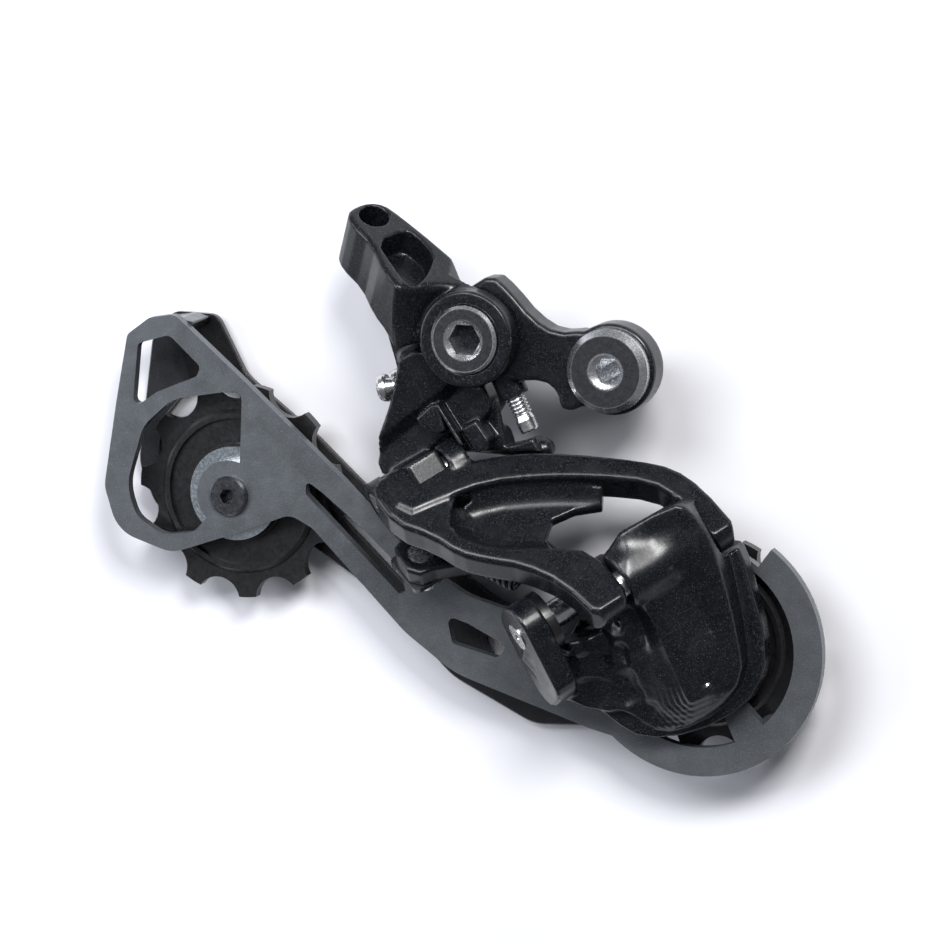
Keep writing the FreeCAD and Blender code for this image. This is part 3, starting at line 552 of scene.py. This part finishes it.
def cage_knuckle(p):
    """Crowned housing with a nose, a left lug on an arm and a right lug."""
    x, y, z = p
    base = smooth_path([(-13.4, -65.0), (-8.0, -67.9), (-0.8, -73.6), (5.5, -76.6), (16.2, -74.6),
                        (27.0, -68.2), (31.2, -60.5), (30.8, -52.0), (28.0, -43.5), (25.8, -36.0),
                        (23.5, -34.0), (10.0, -34.0), (-4.0, -40.0), (-10.0, -56.0)], 1)
    flat = outline(x[:, :, :1], y[:, :, :1], base)
    plate = rim(flat, np.abs(z + 1.6) - 2.5, 0.8)
    inner = outline(x[:, :, :1], y[:, :, :1], smooth_path(
        [(-6.0, -63.0), (0.0, -68.5), (7.0, -74.0), (13.0, -74.0), (22.0, -69.0), (27.8, -61.0),
         (27.2, -53.0),
         (24.8, -41.0), (22.4, -33.0), (18.0, -26.0), (14.6, -25.2), (1.6, -33.2), (3.0, -44.0),
         (-2.0, -54.0)], 1))
    top = height(x[:, :, :1], y[:, :, :1], crown_net())
    dome = meet(inner, np.maximum((z - top) * 0.85, -4.1 - z), 0.9)
    body = join(plate, dome, 1.2)
    nose = drum(p, at(38.5, 26.3, 20.0), at(38.5, 45.7, 20.0), 5.6, 0.9)
    root = capsule(p, at(40.5, 33.0, 12.0), at(42.0, 40.0, 8.0), 5.5, 6.0)
    body = join(body, join(nose, root, 4.0), 2.5)
    b, a, c = local(p, LINK_ORIGIN, ACROSS, ALONG, OUTWARD)
    ear = smooth_path([(30.5, -3.5), (30.0, 4.0), (31.5, 9.0), (36.0, 10.5), (40.5, 8.5), (46.5, 6.5),
                       (52.0, 4.0), (52.5, -9.0),
                       (42.0, -9.5), (36.0, -6.5)], 2)
    lug = rim(outline(b, c, ear), np.abs(a - 9.5) - 2.5, 0.6)
    arm_plan = smooth_path([(-19.0, -58.8), (-14.6, -63.6), (-12.2, -67.6), (-4.0, -71.4), (6.6, -69.3),
                            (12.7, -60.0),
                            (6.2, -52.4), (0.0, -51.0), (-3.0, -54.6), (-9.6, -56.0)], 1)
    scoop = height(x[:, :, :1], y[:, :, :1], ARM_SAMPLES, 12.0)
    side = rim(outline(x, y, arm_plan), np.maximum(z - scoop, -4.1 - z) * 0.75, 0.7)
    body = join(body, join(side, lug, 1.6), 1.6)
    x0, y0 = CAGE[0], CAGE[1]
    radial = np.sqrt((x - x0) ** 2 + (y - y0) ** 2)
    cover = z - 8.7 + np.maximum(radial - 5.2, 0) * 0.62
    body = join(body, meet(radial - 11.4, np.maximum(cover, -4.1 - z), 1.5), 2.0)
    right_lug = drum(p, at(36.5, 26.3, 2.0), at(36.5, 31.0, 2.0), 5.5, 0.6)
    body = join(body, join(right_lug, capsule(p, at(38, 28.6, 2.0), at(45, 30.0, 0.0), 3.0, 4.0), 1.0),
                2.0)
    body = cut(body, drum(p, at(38.5, 10, 20), at(38.5, 26.0, 20), 6.2, 0.3), 0.4)
    body = cut(body, drum(p, at(38.5, 46.0, 20), at(38.5, 66.0, 20), 6.2, 0.3), 0.4)
    body = cut(body, drum(p, at(36.5, 12.2, 2), at(36.5, 26.0, 2), 6.0, 0.3), 0.5)
    body = cut(body, drum(p, at(36.5, 12.2, 2), at(36.5, 14.6, 2), 7.9, 0.3), 0.4)
    stop = CAGE + 29.6 * np.array([math.cos(math.radians(201)), math.sin(math.radians(201)), 0])
    body = cut(body, np.maximum(np.sqrt((x - stop[0]) ** 2 + (y - stop[1]) ** 2) - 2.6, z + 0.7), 0.2)
    return meet(body, -4.1 - z, 0.3)


knuckle = carve("cage_knuckle_casting", (-26, -80, -5), (34, -24, 22), STEP, cage_knuckle)
dress(knuckle, "cast_black", "p_knuckle", "p_knuckle")


# ---- body knuckle ------------------------------------------------------------------------------
def body_knuckle(p):
    """Housing arm, B-axle boss, screw slab, pin block and stop."""
    x, y, z = p
    u, v, w = local(p, MOUTH, ARM_U, ARM_V, SOCKET)
    profile = smooth_path([(-4.4, -1.5), (-3.9, 2.0), (-1.8, 4.4), (2.2, 5.0), (13, 5.5), (27, 5.3),
                           (32, 3), (32, -12), (25, -13), (18.2, -10.3), (12.8, -9.1), (6.1, -6.1),
                           (-0.6, -5.6), (-3.8, -4.0)], 1)
    radial = np.sqrt((x - B_AXIS[0]) ** 2 + (y - B_AXIS[1]) ** 2)
    arm = rim(outline(u, v, profile), np.abs(w + 6.5) - 6.5, 0.9)
    arm = meet(arm, (z - 9.6 - np.maximum(radial - 9.9, 0) * 1.25) * 0.62, 2.0)
    lower = smooth_path([(-44.5, 1.5), (-46.0, -5.6), (-47.8, -11.4), (-50.4, -17.6), (-51.4, -24.6),
                         (-47.0, -25.5),
                         (-36, -22), (-27, -12), (-26, -6), (-34, 2)], 1)
    wall = outline(x[:, :, :1], y[:, :, :1], lower)
    fold = (x + 49.8) * 0.62 - (y + 17.1) * 0.785
    step = np.clip(fold + 0.2, 0, 2.2)
    roof = 7.6 + 0.10 * (y + 5) - 1.15 * step + 0.10 * np.maximum(fold, 0)
    slab = rim(wall, np.maximum(z - roof, -6.5 - z) * 0.8, 0.4)
    neck = rim(outline(x, y, [(-49.0, 4.2), (-46.0, 8.5), (-38.0, 9.0), (-38.0, -4.0), (-46.4, -4.0)]),
               np.abs(z + 0.5) - 4.5, 0.8)
    body = join(join(arm, slab, 1.0), neck, 2.5)
    lug = rim(outline(x, y, [(-41.4, -12.2), (-38.3, -9.3), (-36.4, -8.8), (-35.0, -14.2),
                             (-36.6, -15.2), (-39.6, -14.2)]),
              np.abs(z - 3.2) - 4.2, 0.4)
    ribs = rim(outline(x, y, [(-36.9, -8.6), (-36.0, -9.0), (-29.6, -18.2), (-30.6, -18.4)]),
               np.abs(z - 3.0) - 5.6, 0.3)
    facet = rim(outline(x, y, [(-31.8, -13.8), (-28.6, -12.0), (-25.8, -15.7), (-26.6, -17.8),
                               (-28.6, -18.7)]),
                np.abs(z - 2.0) - 5.0, 0.4)
    body = join(join(join(body, lug, 0.4), ribs, 0.4), facet, 0.4)
    boss = drum(p, B_AXIS + [0, 0, 7.3], B_AXIS + [0, 0, 12.0], 9.9, 0.7)
    body = join(body, boss, 1.0)
    b, a, c = local(p, LINK_ORIGIN, ACROSS, ALONG, OUTWARD)
    block = rim(outline(b, c, [(-4.5, 4.5), (4.0, 4.5), (4.0, -22.0), (-7.0, -22.0)]),
                np.abs(a - 9.0) - 3.7, 0.7)
    body = join(body, block, 1.2)
    stop = capsule(p, (-36.0, -15.5, -1.0), (-16.8, -18.4, -1.8), 4.2, 2.2)
    blade = rim(outline(x, y, [(-30.0, -9.5), (-24.6, -8.2), (-21.4, -10.2), (-20.2, -12.4),
                               (-16.6, -18.4), (-31, -19)]),
                np.abs(z - 0.8) - 1.0, 0.3)
    body = join(join(body, stop, 1.5), blade, 0.5)
    body = cut(body, np.maximum(radial - 10.4, z - 7.3), 0.3)
    angle = np.degrees(np.arctan2(y - B_AXIS[1], x - B_AXIS[0]))
    sweep = np.maximum(np.maximum(-45 - angle, angle - 112) * 0.3, z - 7.3)
    body = cut(body, sweep, 0.3)
    tab = np.maximum(np.maximum(-78 - angle, angle + 44) * 0.3, np.maximum(z - 7.3, radial - 23.6))
    body = cut(body, tab, 0.3)
    body = cut(body, np.maximum(radial - 7.05, 9.9 - z), 0.15)
    body = cut(body, np.maximum(np.sqrt(u * u + v * v) - 3.05, -11.0 - w), 0.3)
    pocket = outline(u, v, smooth_path([(6.0, -4.6), (6.4, 2.2), (8.4, 3.6), (15.4, 2.8), (18.6, -2.0),
                                        (20.1, -5.9), (19.2, -8.0), (13.6, -6.9)], 1))
    body = cut(body, rim(pocket, -6.0 - w, 0.5), 0.5)
    body = cut(body, drum(p, at(0, -8, 0), at(0, 5.0, 0), 6.0, 0.2), 0.3)
    body = cut(body, drum(p, at(0, 13.0, 0), at(0, 19.0, 0), 6.0, 0.2), 0.3)
    body = cut(body, drum(p, at(-2, -8, -18), at(-2, 5.0, -18), 5.6, 0.2), 0.3)
    body = cut(body, drum(p, at(-2, 13.0, -18), at(-2, 19.0, -18), 5.6, 0.2), 0.3)
    return body


knuckle = carve("body_knuckle_casting", (-65, -36, -14), (-13, 34, 18), STEP, body_knuckle)
dress(knuckle, "cast_black", "b_knuckle", "b_knuckle")


# ---- bracket --------------------------------------------------------------------------------
def bracket(p):
    """Forged plate round the hanger bolt and the B axle, with the screw ear."""
    x, y, z = p
    plan = smooth_path([(-37.0, 8.0), (-34.0, 12.0), (-30.6, 14.8), (-25.6, 18.0), (-21.8, 15.0),
                        (-16.9, 9.6), (-11.8, 6.8),
                        (-5.5, 7.6), (0, 4), (-4.0, -7.0), (-6.4, -8.0), (-8.4, -9.0), (-10.8, -8.4),
                        (-11.3, -5.2),
                        (-14.4, -3.0), (-20.9, -3.6), (-31.0, -3.4)], 1)
    flat = outline(x[:, :, :1], y[:, :, :1], plan)
    around = np.sqrt(x[:, :, :1] ** 2 + y[:, :, :1] ** 2) - 9.3
    pivot = np.sqrt((x[:, :, :1] - B_AXIS[0]) ** 2 + (y[:, :, :1] - B_AXIS[1]) ** 2) - 9.4
    flat = join(join(flat, around, 1.0), pivot, 0.6)
    body = rim(flat, np.abs(z - 3.25) - 3.25, 0.9)
    ear = drum(p, B_TOP, B_TOP + B_WAY * 6.6, 3.1, 0.4)
    body = join(body, ear, 0.8)
    body = cut(body, around + 9.3 - 5.05, 0.2)
    body = cut(body, pivot + 9.4 - 5.0, 0.2)
    q = (x - B_TOP[0], y - B_TOP[1], z - B_TOP[2])
    along = dot(q, B_WAY)
    hole = np.sqrt(np.maximum(dot(q, q) - along ** 2, 0)) - 2.05
    return cut(body, np.maximum(hole, -3.2 - along), 0.1)


plate = carve("bracket_forging", (-40, -11, -1), (11, 20, 8), STEP, bracket)
dress(plate, "cast_black", "bracket", "bracket")


# ---- screws ---------------------------------------------------------------------------------
def lathe(name, origin, axis, profile, sides=40):
    """Turned piece: profile is a list of (distance along the axis, radius)."""
    axis = Vector([float(c) for c in axis]).normalized()
    turn = axis.to_track_quat("Z", "Y").to_matrix()
    bm = bmesh.new()
    rings = []
    for t, r in profile:
        ring = []
        for k in range(sides):
            a = 2 * math.pi * k / sides
            local_point = Vector((r * math.cos(a), r * math.sin(a), t))
            ring.append(bm.verts.new((Vector([float(c) for c in origin]) + turn @ local_point) * MM))
        rings.append(ring)
    for low, high in zip(rings, rings[1:]):
        for k in range(sides):
            bm.faces.new((low[k], low[(k + 1) % sides], high[(k + 1) % sides], high[k]))
    bm.faces.new(list(reversed(rings[0])))
    bm.faces.new(rings[-1])
    bmesh.ops.recalc_face_normals(bm, faces=bm.faces)
    mesh = bpy.data.meshes.new(name)
    bm.to_mesh(mesh)
    bm.free()
    obj = bpy.data.objects.new(name, mesh)
    bpy.context.scene.collection.objects.link(obj)
    return obj


def thread(start, end, r, pitch=0.8, depth=0.36):
    """Thread crests and roots along a shank."""
    out = []
    t = start
    while t < end - pitch:
        out += [(t, r - depth), (t + 0.3 * pitch, r - 0.02), (t + 0.5 * pitch, r),
                (t + 0.8 * pitch, r - depth)]
        t += pitch
    return out


shank = [(0.2, 1.5)] + thread(0.4, 11.6, 2.0) + [(11.8, 2.0), (13.9, 2.0), (14.2, 1.75), (14.2, 1.05),
                                                 (12.6, 1.0), (12.5, 0.1)]
screw = lathe("b_screw_threaded", B_TOP, B_WAY, shank)
dress(screw, "steel", "b_tension_screw", "b_tension_screw")

LIMIT_WAY = np.array([-0.97, -0.22, 0.05])
LIMIT_WAY /= np.linalg.norm(LIMIT_WAY)
for tag, head_z in (("high", 4.2), ("low", -2.9)):
    base = np.array([-48.2, -6.6, head_z]) + LIMIT_WAY * 0.3
    shape = [(-9.5, 1.5)] + thread(-9.3, -0.6, 2.0) + [(0.0, 2.0), (0.0, 2.7), (0.4, 2.9), (1.1, 2.85),
                                                       (1.7, 2.5), (2.1, 1.7),
                                                       (2.2, 1.1), (1.4, 0.7), (1.3, 0.1)]
    screw = lathe("limit_%s_threaded" % tag, base, LIMIT_WAY, shape)
    dress(screw, "steel", "limit_screw_%s" % tag, "limit_screw_%s" % tag)


# ---- floor, lights and camera ------------------------------------------------------------------
FLOOR_Z = -0.0189  # just under the lowest point of the part
PHOTO_SIDE, FOCAL = 950.0, 4980.0  # image side and focal length in the same unit
SENSOR = 36.0


def make_floor():
    """Pale floor under the part."""
    size = 1.6
    bm = bmesh.new()
    corners = [(-size, -size, 0), (size, -size, 0), (size, size, 0), (-size, size, 0)]
    bm.faces.new([bm.verts.new(c) for c in corners])
    mesh = bpy.data.meshes.new("floor")
    bm.to_mesh(mesh)
    bm.free()
    obj = bpy.data.objects.new("floor", mesh)
    bpy.context.scene.collection.objects.link(obj)
    obj.location = (0, 0, FLOOR_Z)
    mat, tree, bsdf = node_material("floor_white")
    cloud = noise(tree, 6, 4.0, 0.6)
    tone = mix(tree, ramp(tree, cloud, [(0.35, 0.0), (0.7, 1.0)]), (0.60, 0.60, 0.635),
               (0.66, 0.66, 0.695))
    tree.links.new(tone, bsdf.inputs["Base Color"])
    bsdf.inputs["Roughness"].default_value = 0.7
    mesh.materials.append(mat)


make_floor()


def area_light(name, place, target, size, power, colour=(1, 1, 1)):
    """Rectangular light aimed at a point."""
    data = bpy.data.lights.new(name, "AREA")
    data.shape = "RECTANGLE"
    data.size, data.size_y = size
    data.energy = power
    data.color = colour
    obj = bpy.data.objects.new(name, data)
    bpy.context.scene.collection.objects.link(obj)
    obj.location = place
    obj.rotation_euler = (Vector(target) - Vector(place)).to_track_quat("-Z", "Y").to_euler()
    return obj


centre = (-0.035, -0.03, 0.0)
area_light("key", (0.42, 0.62, 0.80), centre, (0.30, 0.30), 14.0, (1.0, 0.99, 0.98))
area_light("overhead", (-0.25, 0.60, 0.95), centre, (0.7, 0.4), 12.0, (0.96, 0.98, 1.0))
area_light("fill", (-0.85, 0.05, 0.55), centre, (0.4, 0.6), 5.0, (0.90, 0.94, 1.0))
bpy.context.scene.view_settings.view_transform = "Standard"
world = bpy.data.worlds.new("studio")
bpy.context.scene.world = world
world.use_nodes = True
world.node_tree.nodes["Background"].inputs["Color"].default_value = (0.90, 0.93, 1.0, 1)
world.node_tree.nodes["Background"].inputs["Strength"].default_value = 0.17

camera_data = bpy.data.cameras.new("camera")
camera = bpy.data.objects.new("camera", camera_data)
bpy.context.scene.collection.objects.link(camera)
right = Vector((0.9367, 0.0, -0.35))
up = Vector((-0.0635, 0.9834, -0.17))
back = Vector((0.3442, 0.1815, 0.9212))
pose = Matrix.Identity(4)
for i in range(3):
    pose[i][0], pose[i][1], pose[i][2] = right[i], up[i], back[i]
pose.translation = Vector((318.19, 159.78, 935.18)) * MM
camera.matrix_world = pose
camera_data.sensor_width = SENSOR
camera_data.lens = SENSOR * FOCAL / PHOTO_SIDE
camera_data.clip_start = 0.05
camera_data.clip_end = 10.0
bpy.context.scene.camera = camera
